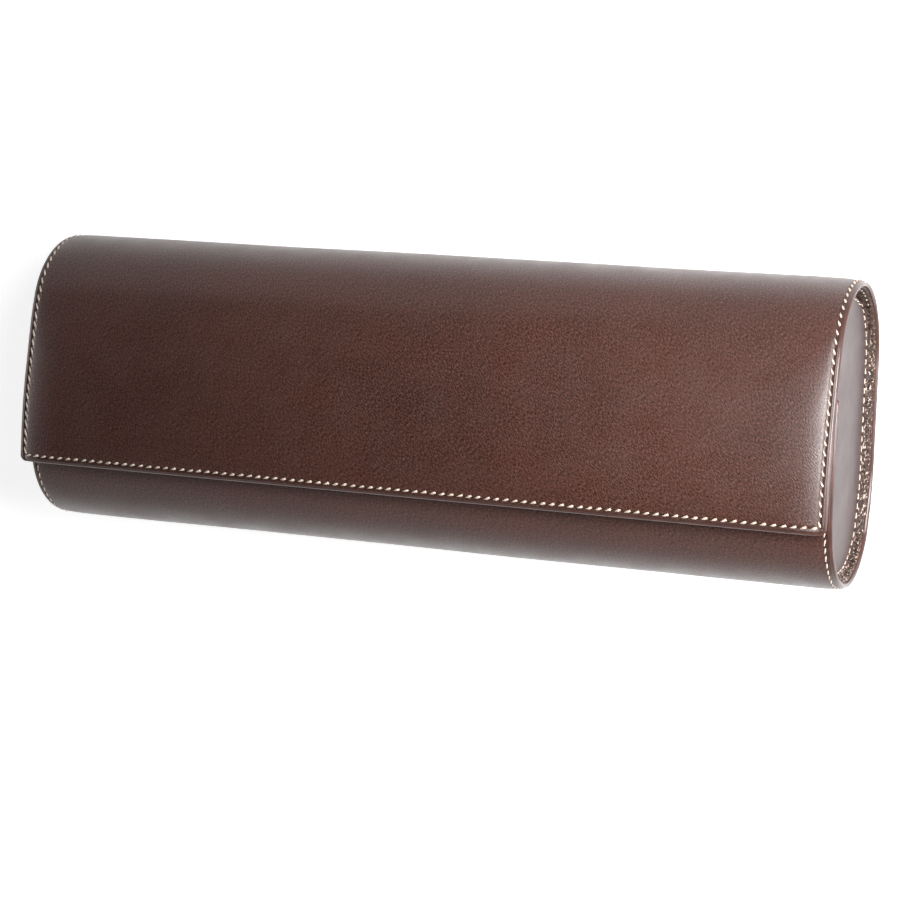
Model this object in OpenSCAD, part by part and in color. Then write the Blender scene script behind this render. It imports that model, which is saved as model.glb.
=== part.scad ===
// Leather watch case: a stiff rolled wrap with a flap over the mouth, sewn-in end panels,
// and four loose cushions that each hold one watch. It lies on its flat back, with the
// ridge at +Y and the mouth under the flap. X runs along the case.

/* [Wrap] */
// Length of the case, from one end of the wrap to the other
case_len = 280; // [240:1:340]
// Outside radius of the round ridge along the back of the case
ridge_r = 27.75; // [25:0.25:30]
// Outside radius of the slope from the flat back up to the toe
heel_r = 52; // [40:1:64]
// Angle of that slope where it meets the toe, in degrees
heel_turn = 18; // [14:0.5:22]
// Straight run between that slope and the toe
heel_straight = 5; // [3:0.5:8]
// Outside radius of the toe, opposite the ridge
toe_r = 14; // [10:0.5:18]
// Slope at which the toe meets the round shoulder, in degrees
toe_slope = 38; // [32:1:46]
// Outside radius of the front panel's slight crown
panel_r = 150; // [110:5:220]
// Length of the front panel past its highest line, up to the mouth
panel_past = 26; // [20:0.5:29]
// Width of the mouth, from its edge to the middle of the ridge
mouth_w = 8; // [6:0.2:12]

/* [Layers] */
// Thickness of the outer leather
leather_t = 1.4; // [1:0.1:1.6]
// Thickness of the board between leather and lining
board_t = 1.6; // [1.4:0.1:1.8]
// Thickness of the suede lining
lining_t = 0.8; // [0.6:0.1:1]

/* [Flap] */
// Turn of the round ridge before the flap's crown begins, in degrees
ridge_turn = 160; // [157:0.5:164]
// Outside radius of the flap's slight crown
flap_r = 170; // [150:5:220]
// Length of the flap from the ridge to its free edge
flap_len = 58; // [52:0.5:64]
// Radius of the flap's two corners, seen from above
flap_corner_r = 2; // [1:0.25:4]
// Gap between the flap's lining and the edge of the mouth
mouth_gap = 1.2; // [0.8:0.1:1.8]

/* [Hinge] */
// Place of the fold line on the ridge, in degrees up from the flat back
hinge_turn = 52; // [46:1:58]
// Width of the soft fold, where there is no board
fold_w = 6; // [4:0.5:8]
// Gap between the fold's leather and the flap's leather
fold_gap = 0.2; // [0.1:0.05:0.4]

/* [End panels] */
// Depth of the end panels inside the ends of the wrap
gusset_recess = 3; // [2:0.1:4]
// Thickness of the end panels' leather
gusset_t = 1.4; // [1:0.1:1.8]
// Thickness of the end panels' board
gusset_board_t = 1.2; // [0.8:0.1:1.6]
// Thickness of the end panels' suede
gusset_lining_t = 0.8; // [0.6:0.1:1.2]
// Thickness of the turned flange that is sewn to the wrap
flange_t = 1; // [0.8:0.1:1.4]
// Distance from the flange's edge to the end of the wrap
flange_inset = 0.3; // [0.1:0.1:0.6]
// Gap between the end panels' free edge and the inside of the flap
gusset_gap = 3; // [1:0.25:4]
// Margin of the end panels' board inside their leather
board_margin = 1; // [0.5:0.1:2]

/* [Dividers] */
// Thickness of the dividers
divider_t = 2.4; // [1.6:0.1:3]
// Height of the dividers over the lining
divider_h = 36; // [30:0.5:40]
// Depth of the finger dip in a divider's upper edge
dip_h = 6; // [4:0.5:8]
// Width of a divider's foot, to each side
foot_w = 6; // [4:0.5:8]
// Thickness of a divider's foot
foot_t = 1; // [0.8:0.1:1.4]

/* [Cushions] */
// Length of a cushion, from its mouth side to its toe side
cushion_l = 56; // [50:0.5:58]
// Height of a cushion at its crown
cushion_h = 30; // [24:0.5:34]
// Gap between a cushion and the foot of the divider beside it
cushion_side_gap = 1; // [0.5:0.25:3]
// Gap between a cushion and the lining under it
cushion_gap = 0.3; // [0.2:0.05:0.5]
// Width of the stiff former in a cushion's underside
core_w = 30; // [24:0.5:32]
// Length of the former
core_l = 32; // [26:0.5:34]
// Height of the former
core_h = 10; // [8:0.5:12]
// Radius of the former's upright corners
core_corner_r = 5; // [3:0.5:7]

/* [Magnets] */
// Diameter of the closure magnets
magnet_d = 12; // [8:0.5:14]
// Thickness of a magnet, which lies in the board
magnet_t = 1; // [0.8:0.1:1.1]
// Distance from the middle of the case to each magnet
magnet_x = 66; // [50:1:90]
// Gap round a magnet in its pocket
magnet_gap = 0.3; // [0.2:0.05:0.4]

/* [Hidden] */

leather = "#4a2a22";
leather_edge = "#3a2019";
gusset_leather = "#54332a";
suede = "#8d7560";
board = "#b9a88c";
steel = "#b8bcc0";
foam = "#d8d2c4";

// number of watches that the case holds
watches = 4;
// largest turn and largest distance between two points of an arc
arc_turn = 5;
arc_chord = 4;
// how far a cut runs past what it cuts
overrun = 1;
// smallest gap that keeps two pieces free of each other
clear = 0.3;

wall_t = leather_t + board_t + lining_t;
board_depths = [leather_t, leather_t + board_t];
lining_depths = [leather_t + board_t, wall_t];
fold_depths = [leather_t, leather_t + lining_t];

// A path is a chain of tangent runs, each [amount, radius]. With radius 0 the amount is a
// length, and otherwise it is a turn in degrees. A place on it is [y, z, heading], and side
// is 1 where the inside of the case lies to the left, or -1 where it lies to the right.
function inward(heading, side) = side * [-sin(heading), cos(heading)];

function at_depth(place, side, depth) =
    [place[0], place[1]] + depth * inward(place[2], side);

function moved(place, run, side) = run[1] == 0
    ? [place[0] + run[0] * cos(place[2]), place[1] + run[0] * sin(place[2]), place[2]]
    : let (heading = place[2] + side * run[0],
           end = at_depth(place, side, run[1]) - run[1] * inward(heading, side))
      [end[0], end[1], heading];

function place_after(place, runs, side, count) = count == 0
    ? place
    : moved(place_after(place, runs, side, count - 1), runs[count - 1], side);

function turn_of(length, radius) = length / radius * 180 / PI;
function length_of(turn, radius) = turn * radius * PI / 180;

function steps_of(run) = run[1] == 0
    ? 1
    : ceil(max(run[0] / arc_turn, length_of(run[0], run[1]) / arc_chord));

function path(place, runs, side, depth) = [
    for (n = [0 : len(runs) - 1])
        let (from = place_after(place, runs, side, n), run = runs[n], steps = steps_of(run))
        for (i = [n == 0 ? 0 : 1 : steps])
            at_depth(moved(from, [run[0] * i / steps, run[1]], side), side, depth)];

function reversed(points) = [for (i = [len(points) - 1 : -1 : 0]) points[i]];
function all_but_first(points) = [for (i = [1 : len(points) - 1]) points[i]];

// The flap leaves the ridge at ridge_turn. This is the centre of its crown, from the
// place under the middle of the ridge, and the height of the mouth's edge under it.
crown_offset = flap_r - ridge_r;
crown_from_ridge = [-crown_offset * sin(ridge_turn),
    ridge_r + crown_offset * cos(ridge_turn)];
lip_reach = flap_r - wall_t - mouth_gap;
lip_height = crown_from_ridge[1]
    + sqrt(pow(lip_reach, 2) - pow(mouth_w + crown_from_ridge[0], 2));

// From the flat back the other way: heel slope, toe, shoulder and front panel, which rises
// to its level line and falls to the mouth. Slopes run from 0 at the back, through 90 where
// the wrap stands upright, to 180 where the panel is level.
function arc_run(radius, from, to) = radius * (sin(to) - sin(from));
function arc_rise(radius, from, to) = radius * (cos(from) - cos(to));
panel_slope = 176;
lip_slope = 180 + turn_of(panel_past, panel_r);
// outside radius of the shoulder, so that the panel ends at lip_height
shoulder_r = (lip_height - arc_rise(heel_r, 0, heel_turn) - heel_straight * sin(heel_turn)
    - arc_rise(toe_r, heel_turn, toe_slope) - arc_rise(panel_r, panel_slope, lip_slope))
    / (cos(toe_slope) - cos(panel_slope));
front_runs = [[heel_turn, heel_r], [heel_straight, 0], [toe_slope - heel_turn, toe_r],
    [panel_slope - toe_slope, shoulder_r], [180 - panel_slope, panel_r],
    [lip_slope - 180, panel_r]];

// The flat back fills what is left between the heel and the ridge. The case lies on it at
// z = 0, and is centred between its toe and its ridge.
slope_run = arc_run(heel_r, 0, heel_turn) + heel_straight * cos(heel_turn);
base_flat = mouth_w - slope_run - arc_run(toe_r, heel_turn, toe_slope)
    - arc_run(shoulder_r, toe_slope, panel_slope)
    - arc_run(panel_r, panel_slope, lip_slope);
case_depth = slope_run + arc_run(toe_r, heel_turn, toe_slope)
    + arc_run(shoulder_r, toe_slope, 90) + base_flat + ridge_r;
ridge_y = case_depth / 2 - ridge_r;
back_start = [ridge_y - base_flat, 0, 0];
toe_start = [back_start[0], 0, 180];
lip = place_after(toe_start, front_runs, -1, len(front_runs));
panel_top = place_after(toe_start, front_runs, -1, len(front_runs) - 1);

// Round the ridge: the body up to the fold, and the flap from the fold on.
fold_turn = turn_of(fold_w / 2, ridge_r);
back_runs = [[base_flat, 0], [hinge_turn - fold_turn, ridge_r]];
flap_turn = hinge_turn + fold_turn + turn_of(fold_gap, ridge_r);
flap_start = place_after(back_start, [[base_flat, 0], [flap_turn, ridge_r]], 1, 2);
crown_start = place_after(back_start, [[base_flat, 0], [ridge_turn, ridge_r]], 1, 2);
crown_centre = [ridge_y, 0] + crown_from_ridge;
flap_runs = [[ridge_turn - flap_turn, ridge_r], [turn_of(flap_len, flap_r), flap_r]];
flap_edge = place_after(flap_start, flap_runs, 1, 2);

// heading of the flap's crown where the layer at this depth has this y
function crown_heading(y, depth) = 180 - asin((y - crown_centre[0]) / (flap_r - depth));

// one layer boundary of the body, from the mouth round the toe and the back to the fold
function body_line(depth) = concat(
    reversed(path(toe_start, front_runs, -1, depth)),
    all_but_first(path(back_start, back_runs, 1, depth)));

// the inside of the body, closed under the flap, and drawn in by a margin
function inside_outline(margin) =
    let (corner = at_depth(moved(lip, [wall_t / 2 + 2 * clear + margin, 0], -1), -1,
             wall_t + margin),
         depth = wall_t + gusset_gap + margin,
         runs = [[ridge_turn - flap_turn, ridge_r],
             [crown_heading(corner[0], depth) - ridge_turn, flap_r]])
    concat([corner], body_line(wall_t + margin), path(flap_start, runs, 1, depth));

// lengths along the case
half_len = case_len / 2;
gusset_stack = gusset_t + gusset_board_t + gusset_lining_t;
inner_half = half_len - gusset_recess - gusset_stack;
bay_w = (2 * inner_half - (watches - 1) * divider_t) / watches;
function divider_x(n) = -inner_half + n * bay_w + (n - 1 / 2) * divider_t;
function bay_x(n) = -inner_half + (n - 1 / 2) * bay_w + (n - 1) * divider_t;

// draws a cross-section from one x along the case
module along_case(x, length) {
    translate([x, 0, 0]) rotate([90, 0, 90]) linear_extrude(length) children();
}

module body_layer(from_depth, to_depth) {
    along_case(-half_len, case_len)
        polygon(concat(body_line(from_depth), reversed(body_line(to_depth))));
}

// one layer of the flap, with its two corners rounded
module flap_layer(from_depth, to_depth) {
    difference() {
        along_case(-half_len, case_len)
            polygon(concat(path(flap_start, flap_runs, 1, from_depth),
                reversed(path(flap_start, flap_runs, 1, to_depth))));
        for (side = [0, 1]) mirror([side, 0, 0]) flap_corner_cut();
    }
}

// what rounds one corner of the flap
module flap_corner_cut() {
    edge_y = flap_edge[0] - wall_t;
    round_y = flap_edge[0] + flap_corner_r;
    height = 2 * wall_t + 2 * overrun;
    translate([0, 0, flap_edge[1] - height + overrun]) linear_extrude(height)
        difference() {
            translate([half_len - flap_corner_r, edge_y])
                square([flap_corner_r + overrun, round_y - edge_y]);
            translate([half_len - flap_corner_r, round_y]) circle(flap_corner_r, $fn = 48);
        }
}

// discs at both magnet places, lying in the layer under this place of the path
module magnet_pair(place, side, diameter, thickness) {
    middle = at_depth(place, side, leather_t + board_t / 2);
    for (x = [-magnet_x, magnet_x])
        translate([x, middle[0], middle[1]])
            rotate([place[2], 0, 0])
                cylinder(d = diameter, h = thickness, center = true, $fn = 48);
}

flap_magnet_place = moved(crown_start,
    [crown_heading(panel_top[0], board_depths[0] + board_t / 2) - ridge_turn, flap_r], 1);
pocket_d = magnet_d + 2 * magnet_gap;
pocket_h = board_t + 2 * overrun;

module body_cover() {
    color(leather) body_layer(0, leather_t);
}

module body_board() {
    color(board) difference() {
        body_layer(board_depths[0], board_depths[1]);
        magnet_pair(panel_top, -1, pocket_d, pocket_h);
    }
}

module body_lining() {
    color(suede) body_layer(lining_depths[0], lining_depths[1]);
}

module body_magnets() {
    color(steel) magnet_pair(panel_top, -1, magnet_d, magnet_t);
}

// the half-round edge of the mouth
module lip_bead() {
    middle = at_depth(lip, -1, wall_t / 2);
    color(leather_edge) along_case(-half_len, case_len)
        translate(middle) rotate(lip[2]) difference() {
            circle(d = wall_t, $fn = 32);
            translate([-wall_t, -wall_t]) square([wall_t, 2 * wall_t]);
        }
}

// the bare leather and lining that bend when the flap opens
module fold_layer(from_depth, to_depth) {
    start = moved(place_after(back_start, back_runs, 1, 1), back_runs[1], 1);
    runs = [[2 * fold_turn, ridge_r]];
    along_case(-half_len, case_len)
        polygon(concat(path(start, runs, 1, from_depth),
            reversed(path(start, runs, 1, to_depth))));
}

module hinge_fold() {
    color(leather) fold_layer(0, leather_t);
}

module hinge_lining() {
    color(suede) fold_layer(fold_depths[0], fold_depths[1]);
}

module flap_cover() {
    color(leather) flap_layer(0, leather_t);
}

module flap_board() {
    color(board) difference() {
        flap_layer(board_depths[0], board_depths[1]);
        magnet_pair(flap_magnet_place, 1, pocket_d, pocket_h);
    }
}

module flap_lining() {
    color(suede) flap_layer(lining_depths[0], lining_depths[1]);
}

module flap_magnets() {
    color(steel) magnet_pair(flap_magnet_place, 1, magnet_d, magnet_t);
}

// The right end panel's leather: a flat plate, and a flange turned outward along the wrap.
module gusset() {
    plate_x = half_len - gusset_recess - gusset_t;
    flange_x = half_len - gusset_recess;
    along_case(plate_x, gusset_t) polygon(inside_outline(0));
    along_case(flange_x, gusset_recess - flange_inset)
        polygon(concat(body_line(wall_t), reversed(body_line(wall_t + flange_t))));
}

module gusset_board() {
    along_case(inner_half + gusset_lining_t, gusset_board_t)
        polygon(inside_outline(board_margin));
}

module gusset_lining() {
    along_case(inner_half, gusset_lining_t) polygon(inside_outline(0));
}

module right_gusset() {
    color(gusset_leather) gusset();
}

module left_gusset() {
    color(gusset_leather) mirror([1, 0, 0]) gusset();
}

module right_gusset_board() {
    color(board) gusset_board();
}

module left_gusset_board() {
    color(board) mirror([1, 0, 0]) gusset_board();
}

module right_gusset_lining() {
    color(suede) gusset_lining();
}

module left_gusset_lining() {
    color(suede) mirror([1, 0, 0]) gusset_lining();
}

// A divider follows the inside of the wrap up to its dipped upper edge, and stands on two
// feet that are glued to the lining.
module divider(n) {
    top_z = wall_t + divider_h;
    middle_y = back_start[0] + base_flat / 2;
    dip_r = (base_flat * base_flat / 4 + dip_h * dip_h) / (2 * dip_h);
    color(suede) translate([divider_x(n), 0, 0]) {
        along_case(-divider_t / 2, divider_t) intersection() {
            polygon(inside_outline(0));
            difference() {
                translate([-case_depth / 2, 0]) square([case_depth, top_z]);
                translate([middle_y, top_z - dip_h + dip_r]) circle(dip_r, $fn = 96);
            }
        }
        translate([-divider_t / 2 - foot_w, back_start[0], wall_t])
            cube([2 * foot_w + divider_t, base_flat, foot_t]);
    }
}

// A cushion: flat underside, full corners, sides drawn in between them, and a crown. Its
// shape is a unit outline at several heights, which the cushion's sizes scale.
cushion_w = bay_w - 2 * (foot_w + cushion_side_gap);
cushion_points = 40;
cushion_rows = 10;
// share by which a side is drawn in at its middle
draw_share = 0.12;
// roundness of the outline's corners, and of the section's
corner_share = 0.3;
section_share = 0.4;
// angle on the section where the flat underside begins
underside_angle = -60;
cushion_y = back_start[0] + base_flat / 2;

// the underside reaches past the flat back, so the cushion stands on the curves beside it
underside_half = cushion_l / 2 * pow(cos(underside_angle), section_share);
overhang = max(0, underside_half - base_flat / 2);
lining_r = ridge_r - wall_t;
cushion_z = wall_t + lining_r - sqrt(pow(lining_r, 2) - pow(overhang, 2)) + cushion_gap;

function rounded(value, share) = sign(value) * pow(abs(value), share);

// a point of the outline before it is brought to unit size
function drawn_point(angle) =
    let (u = rounded(cos(angle), corner_share), v = rounded(sin(angle), corner_share))
    [u * (1 - draw_share * (1 - v * v)), v * (1 - draw_share * (1 - u * u))];

outline_reach = max([for (i = [0 : cushion_points - 1])
    drawn_point(360 * i / cushion_points)[0]]);

// a point of the unit outline, from -1 to 1 both ways
function outline_point(angle) = drawn_point(angle) / outline_reach;

// the outline's share and the height's share in one row
function row_shares(row) =
    let (angle = underside_angle + (90 - underside_angle) * row / cushion_rows,
         low = sin(underside_angle))
    [pow(cos(angle), section_share), (sin(angle) - low) / (1 - low)];

module cushion_body() {
    sides = cushion_points;
    rows = cushion_rows;
    rings = [for (row = [0 : rows - 1], i = [0 : sides - 1])
        let (shares = row_shares(row), place = outline_point(360 * i / sides))
        [place[0] * shares[0] * cushion_w / 2, place[1] * shares[0] * cushion_l / 2,
            shares[1] * cushion_h]];
    underside = sides * rows;
    crown = underside + 1;
    low_faces = [for (i = [0 : sides - 1]) [underside, i, (i + 1) % sides]];
    high_faces = [for (i = [0 : sides - 1])
        let (first = sides * (rows - 1)) [crown, first + (i + 1) % sides, first + i]];
    side_faces = [for (row = [0 : rows - 2], i = [0 : sides - 1], half = [0, 1])
        let (a = row * sides + i, b = row * sides + (i + 1) % sides)
        half == 0 ? [a, a + sides, b + sides] : [a, b + sides, b]];
    polyhedron(concat(rings, [[0, 0, 0], [0, 0, cushion_h]]),
        concat(low_faces, high_faces, side_faces));
}

// a block with rounded upright corners, centred on the axis
module rounded_block(width, length, height, radius) {
    linear_extrude(height) {
        square([width - 2 * radius, length], center = true);
        square([width, length - 2 * radius], center = true);
        for (x = [radius - width / 2, width / 2 - radius], y = [radius - length / 2,
                length / 2 - radius])
            translate([x, y]) circle(radius, $fn = 32);
    }
}

module cushion(n) {
    color(suede) translate([bay_x(n), cushion_y, cushion_z]) difference() {
        cushion_body();
        translate([0, 0, -overrun])
            rounded_block(core_w + 2 * clear, core_l + 2 * clear, core_h + overrun + clear,
                core_corner_r + clear);
    }
}

module cushion_core(n) {
    color(foam) translate([bay_x(n), cushion_y, cushion_z])
        rounded_block(core_w, core_l, core_h, core_corner_r);
}

body_cover();
body_board();
body_lining();
lip_bead();
left_gusset();
right_gusset();
left_gusset_board();
right_gusset_board();
left_gusset_lining();
right_gusset_lining();
body_magnets();
hinge_fold();
hinge_lining();
flap_cover();
flap_board();
flap_lining();
flap_magnets();
for (n = [1 : watches - 1])
    divider(n);
for (n = [1 : watches])
    cushion(n);
for (n = [1 : watches])
    cushion_core(n);
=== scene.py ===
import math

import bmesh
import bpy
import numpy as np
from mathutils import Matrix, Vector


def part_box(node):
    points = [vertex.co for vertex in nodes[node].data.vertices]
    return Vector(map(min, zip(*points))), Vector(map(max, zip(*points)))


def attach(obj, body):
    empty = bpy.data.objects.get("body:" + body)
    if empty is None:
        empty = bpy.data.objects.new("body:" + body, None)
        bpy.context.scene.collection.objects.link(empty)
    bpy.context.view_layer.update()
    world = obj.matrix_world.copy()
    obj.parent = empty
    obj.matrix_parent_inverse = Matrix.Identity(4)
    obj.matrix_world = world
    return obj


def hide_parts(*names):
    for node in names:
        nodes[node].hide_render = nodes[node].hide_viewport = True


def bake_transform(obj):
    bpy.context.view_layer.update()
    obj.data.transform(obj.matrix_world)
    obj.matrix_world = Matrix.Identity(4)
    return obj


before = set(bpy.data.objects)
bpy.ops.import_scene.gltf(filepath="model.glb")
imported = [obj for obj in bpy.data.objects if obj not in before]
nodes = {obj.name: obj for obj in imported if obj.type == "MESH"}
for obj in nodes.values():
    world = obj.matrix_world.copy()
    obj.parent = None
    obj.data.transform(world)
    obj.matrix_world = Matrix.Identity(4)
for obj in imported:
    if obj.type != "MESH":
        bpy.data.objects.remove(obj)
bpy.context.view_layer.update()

# %% [markdown]
# # A rolled leather watch case
# The case is one stiff sheet of calf leather, lined with suede, that is rolled into a flat
# tube and closed by a flap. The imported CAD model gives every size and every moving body.
# Here each visible skin is made again as a fine mesh over that frame, with its stitches,
# painted edges and padding, so that the shape comes from geometry and the finish from
# procedural materials. All lengths are in metres, in the frame's own axes.

mm = 0.001
cover_low, cover_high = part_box("body_cover")
case_length = cover_high.x - cover_low.x
half_length = case_length / 2
both_ends = ((-1, "left"), (1, "right"))
random = np.random.default_rng(7)


def new_object(name, data):
    made = bpy.data.objects.new(name, data)
    bpy.context.scene.collection.objects.link(made)
    return made


print("frame:", len(nodes), "nodes, case length %.1f mm" % (case_length / mm))

# %% [markdown]
# ## The section that everything follows
# Seen from the end, the wrap is a chain of straight runs and tangent arcs: flat back, heel,
# toe, round shoulder, front panel, and the other way the ridge and the flap. Points could be
# drawn by eye, but a chain keeps every layer exactly parallel to the next, as real leather,
# board and lining are. The chain is the maker's pattern of the part itself.

# %% Sizes of the section, in the order of the chain
ridge_radius = 27.75 * mm
heel_radius, heel_turn, heel_straight = 52 * mm, 18, 5 * mm
toe_radius, toe_slope = 14 * mm, 38
panel_radius, panel_past, panel_slope = 150 * mm, 26 * mm, 176
mouth_width, mouth_gap = 8 * mm, 1.2 * mm
ridge_turn, flap_radius, flap_length = 160, 170 * mm, 58 * mm
leather, board, lining = 1.4 * mm, 1.6 * mm, 0.8 * mm
wall = leather + board + lining
hinge_turn, fold_width = 52, 6 * mm
print("wall: %.1f mm of leather, board and lining" % (wall / mm))


# %% Straight runs and arcs
def sin(degrees):
    return math.sin(math.radians(degrees))


def cos(degrees):
    return math.cos(math.radians(degrees))


def inward(heading, side):
    return side * np.array([-sin(heading), cos(heading)])


def at_depth(place, side, depth):
    return np.array(place[:2]) + depth * inward(place[2], side)


def moved(place, amount, radius, side):
    if radius == 0:
        return (place[0] + amount * cos(place[2]), place[1] + amount * sin(place[2]), place[2])
    heading = place[2] + side * amount
    end = at_depth(place, side, radius) - radius * inward(heading, side)
    return (end[0], end[1], heading)


def run_length(amount, radius):
    return math.radians(amount) * radius if radius else amount


def turn_of(length, radius):
    return math.degrees(length / radius)


print("the ridge's arc is %.1f mm long" % (run_length(ridge_turn, ridge_radius) / mm))


# %% A chain of them
class Chain:
    """Tangent runs, each (amount, radius); side 1 where the inside lies to the left."""

    def __init__(self, start, runs, side):
        self.start, self.runs, self.side = start, runs, side
        self.length = sum(run_length(a, r) for a, r in runs)

    def place(self, s):
        place = self.start
        for n, (amount, radius) in enumerate(self.runs):
            length = run_length(amount, radius)
            if s <= length or n == len(self.runs) - 1:
                return moved(place, amount * s / length, radius, self.side)
            place = moved(place, amount, radius, self.side)
            s -= length

    def point(self, x, s, depth):
        y, z = at_depth(self.place(s), self.side, depth)
        return Vector((x, y, z))

    def tangent(self, s):
        heading = self.place(s)[2]
        return Vector((0, cos(heading), sin(heading)))

    def outward(self, s):
        y, z = -inward(self.place(s)[2], self.side)
        return Vector((0, y, z))


straight_and_arc = Chain((0, 0, 0), [(10 * mm, 0), (90, 10 * mm)], 1)
print("10 mm straight on and a quarter turn of 10 mm:", straight_and_arc.point(
    0, straight_and_arc.length, 0) / mm)


# %% The two halves of the wrap, from the middle of the back
def arc_run(radius, start, end):
    return radius * (sin(end) - sin(start))


def arc_rise(radius, start, end):
    return radius * (cos(start) - cos(end))


crown_offset = flap_radius - ridge_radius
crown_y = -crown_offset * sin(ridge_turn)
crown_z = ridge_radius + crown_offset * cos(ridge_turn)
lip_reach = flap_radius - wall - mouth_gap
lip_height = crown_z + math.sqrt(lip_reach ** 2 - (mouth_width + crown_y) ** 2)
lip_slope = 180 + turn_of(panel_past, panel_radius)
shoulder_radius = (
    lip_height - arc_rise(heel_radius, 0, heel_turn) - heel_straight * sin(heel_turn)
    - arc_rise(toe_radius, heel_turn, toe_slope)
    - arc_rise(panel_radius, panel_slope, lip_slope)) / (cos(toe_slope) - cos(panel_slope))
slope_run = arc_run(heel_radius, 0, heel_turn) + heel_straight * cos(heel_turn)
base_flat = (mouth_width - slope_run - arc_run(toe_radius, heel_turn, toe_slope)
             - arc_run(shoulder_radius, toe_slope, panel_slope)
             - arc_run(panel_radius, panel_slope, lip_slope))
case_depth = (slope_run + arc_run(toe_radius, heel_turn, toe_slope)
              + arc_run(shoulder_radius, toe_slope, 90) + base_flat + ridge_radius)
back_start = case_depth / 2 - ridge_radius - base_flat

front = Chain((back_start, 0, 180), [
    (heel_turn, heel_radius), (heel_straight, 0), (toe_slope - heel_turn, toe_radius),
    (panel_slope - toe_slope, shoulder_radius), (lip_slope - panel_slope, panel_radius)], -1)
wrap = Chain((back_start, 0, 0), [
    (base_flat, 0), (ridge_turn, ridge_radius),
    (turn_of(flap_length, flap_radius), flap_radius)], 1)
fold_middle = base_flat + run_length(hinge_turn, ridge_radius)
fold_start, fold_end = fold_middle - fold_width / 2, fold_middle + fold_width / 2
drawn = [half.point(0, s, 0) for half in (front, wrap) for s in np.linspace(0, half.length, 400)]

# %% [markdown]
# ## Camera
# The photograph looks at the flap from the right and a little above the ridge, through a
# long lens. The camera's place and axes were found by fitting the section's edges to the
# outline, so they are set as one matrix, and the lens follows from the fitted focal length.

# %% Camera
image_width_px, focal_px, sensor = 900, 2596.0, 36.0
camera_azimuth, camera_elevation, camera_roll = 21.802, 8.498, 1.580
camera_place = Vector((321.05, 111.99, 820.86)) * mm

backward = Vector((sin(camera_azimuth) * cos(camera_elevation), sin(camera_elevation),
                   cos(camera_azimuth) * cos(camera_elevation)))
level_right = Vector((0, 1, 0)).cross(backward).normalized()
level_up = backward.cross(level_right)
camera_right = level_right * cos(camera_roll) + level_up * sin(camera_roll)
camera_up = level_up * cos(camera_roll) - level_right * sin(camera_roll)
camera_data = bpy.data.cameras.new("photo_camera")
camera_data.lens = focal_px / image_width_px * sensor
camera_data.sensor_width = sensor
camera_data.clip_start, camera_data.clip_end = 0.05, 20
camera = new_object("photo_camera", camera_data)
camera.matrix_world = Matrix.Translation(camera_place) @ Matrix(
    (camera_right, camera_up, backward)).transposed().to_4x4()
bpy.context.scene.camera = camera
bpy.context.scene.view_settings.view_transform = "Standard"
print("camera: lens %.1f mm" % camera_data.lens)


# %% [markdown]
# ## Node helpers
# Every finish here is a small tree of nodes. These helpers add a node with its values and
# join sockets, so that each material below reads as a list of what the surface is made of.

# %% Trees and nodes
def empty_tree(owner):
    """The node tree of a material or a world, with nothing in it yet."""
    owner.use_nodes = True
    owner.node_tree.nodes.clear()
    return owner.node_tree


def new_material(name):
    material = bpy.data.materials.new(name)
    tree = empty_tree(material)
    output = tree.nodes.new("ShaderNodeOutputMaterial")
    shader = tree.nodes.new("ShaderNodeBsdfPrincipled")
    tree.links.new(shader.outputs["BSDF"], output.inputs["Surface"])
    return material, tree, shader


def feed(tree, socket, value):
    """A plain value is set on the socket itself, and another node's output is linked to it."""
    if isinstance(value, bpy.types.NodeSocket):
        tree.links.new(value, socket)
    else:
        socket.default_value = value


def add(tree, kind, inputs=None, **values):
    node = tree.nodes.new("ShaderNode" + kind)
    for key, value in values.items():
        setattr(node, key, value)
    for key, value in (inputs or {}).items():
        feed(tree, node.inputs[key], value)
    return node


def worked_out(tree, operation, first, second=0.0):
    return add(tree, "Math", {0: first, 1: second}, operation=operation).outputs[0]


def finish(tree, shader, height, strength, depth, **values):
    """Sets the shader's sockets by name, and lays a bump of this depth over the surface."""
    for key, value in values.items():
        feed(tree, shader.inputs[key.replace("_", " ").title().replace("Ior", "IOR")], value)
    bump = add(tree, "Bump", {"Height": height, "Strength": strength, "Distance": depth})
    tree.links.new(bump.outputs["Normal"], shader.inputs["Normal"])


print("materials of the frame:", len(bpy.data.materials))


# %% Patterns and colours
def object_space(tree):
    return add(tree, "TexCoord").outputs["Object"]


def noise(tree, vector, scale, detail=3.0, roughness=0.5, distortion=0.0):
    return add(tree, "TexNoise", {"Vector": vector, "Scale": scale, "Detail": detail,
                                  "Roughness": roughness, "Distortion": distortion}).outputs["Fac"]


def scaled(tree, vector, scale, turn=0.0):
    return add(tree, "Mapping", {"Vector": vector, "Scale": scale,
                                 "Rotation": (0, 0, math.radians(turn))}).outputs["Vector"]


def spread(tree, value, low, high, to_low, to_high):
    return add(tree, "MapRange", {"Value": value, "From Min": low, "From Max": high,
                                  "To Min": to_low, "To Max": to_high}).outputs["Result"]


def mixed(tree, factor, first, second):
    """Two colours mixed; a Mix node keeps its colour sockets at 6 and 7."""
    return add(tree, "Mix", {0: factor, 6: first, 7: second}, data_type="RGBA").outputs[2]


def cloudy(tree, pattern, low, high, dark, light):
    """Dark where the pattern is under low, light where it is over high."""
    return mixed(tree, spread(tree, pattern, low, high, 0, 1), dark, light)


def rgb(red, green, blue):
    """A colour given as it looks on a screen, 0 to 255, for a shader's linear socket."""
    return tuple(((c / 255 + 0.055) / 1.055) ** 2.4 if c > 10 else c / 255 / 12.92
                 for c in (red, green, blue)) + (1.0,)


def darker(colour, share=0.4):
    return tuple(c * share for c in colour[:3]) + (1.0,)


print("the middle grey of a screen is %.2f in a shader" % rgb(128, 128, 128)[0])

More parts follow.
